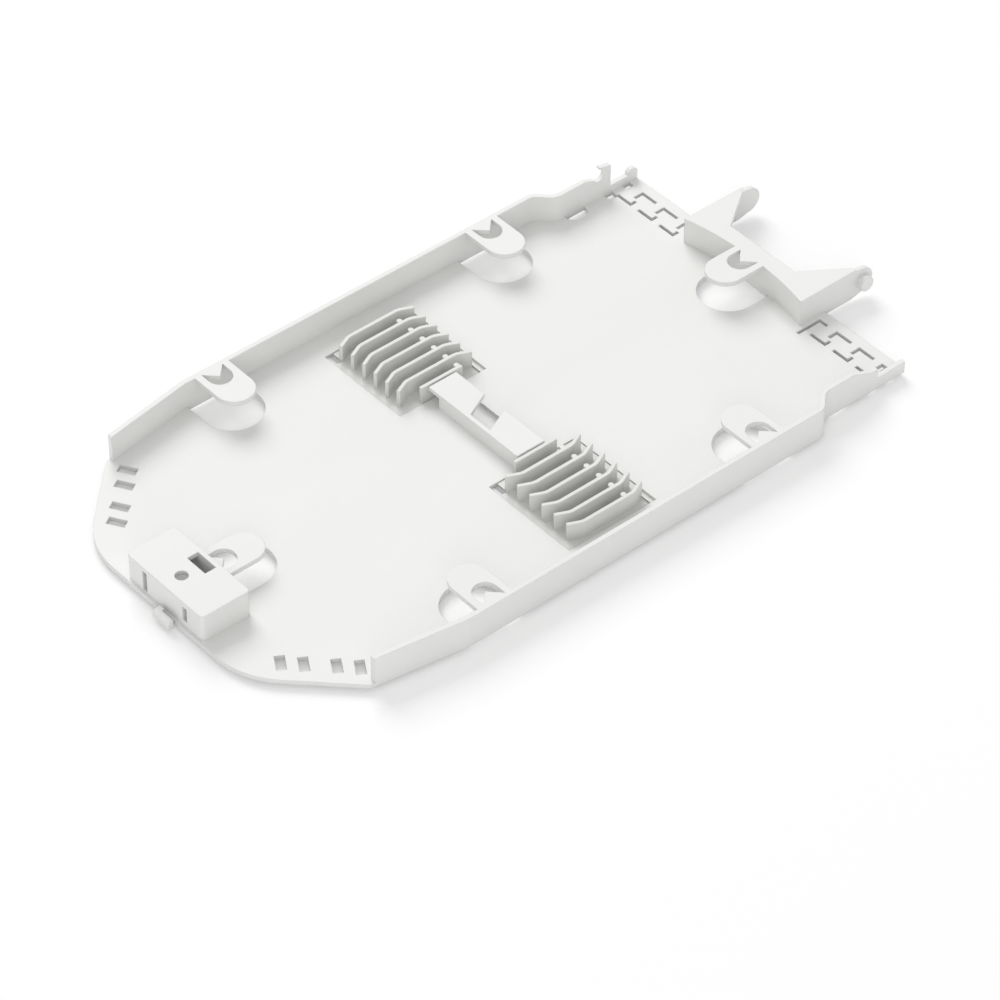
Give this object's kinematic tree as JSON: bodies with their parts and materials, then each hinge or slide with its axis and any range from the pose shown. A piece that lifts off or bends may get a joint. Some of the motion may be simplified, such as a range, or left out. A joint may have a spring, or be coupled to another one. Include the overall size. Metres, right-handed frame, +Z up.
{
  "type": "fibre splice tray",
  "caption": "Shallow plastic splice tray with side walls, comb holders for splice protectors, retaining tabs, a latch box and hinge arms for stacking.",
  "frame": {"origin": "centre of the part's bounding box, on its underside", "axes": "+X from the latch end to the hinge end, +Y across the tray, +Z up out of the open side"},
  "size_m": [0.2022, 0.105, 0.0106],
  "materials": {
    "tray": "fine satin, light grey-white moulding",
    "holder": "satin, warm mid grey moulding"
  },
  "bodies": {
    "root": {"tray": "tray", "splice_holder_far": "holder", "splice_holder_near": "holder"}
  },
  "joints": []
}
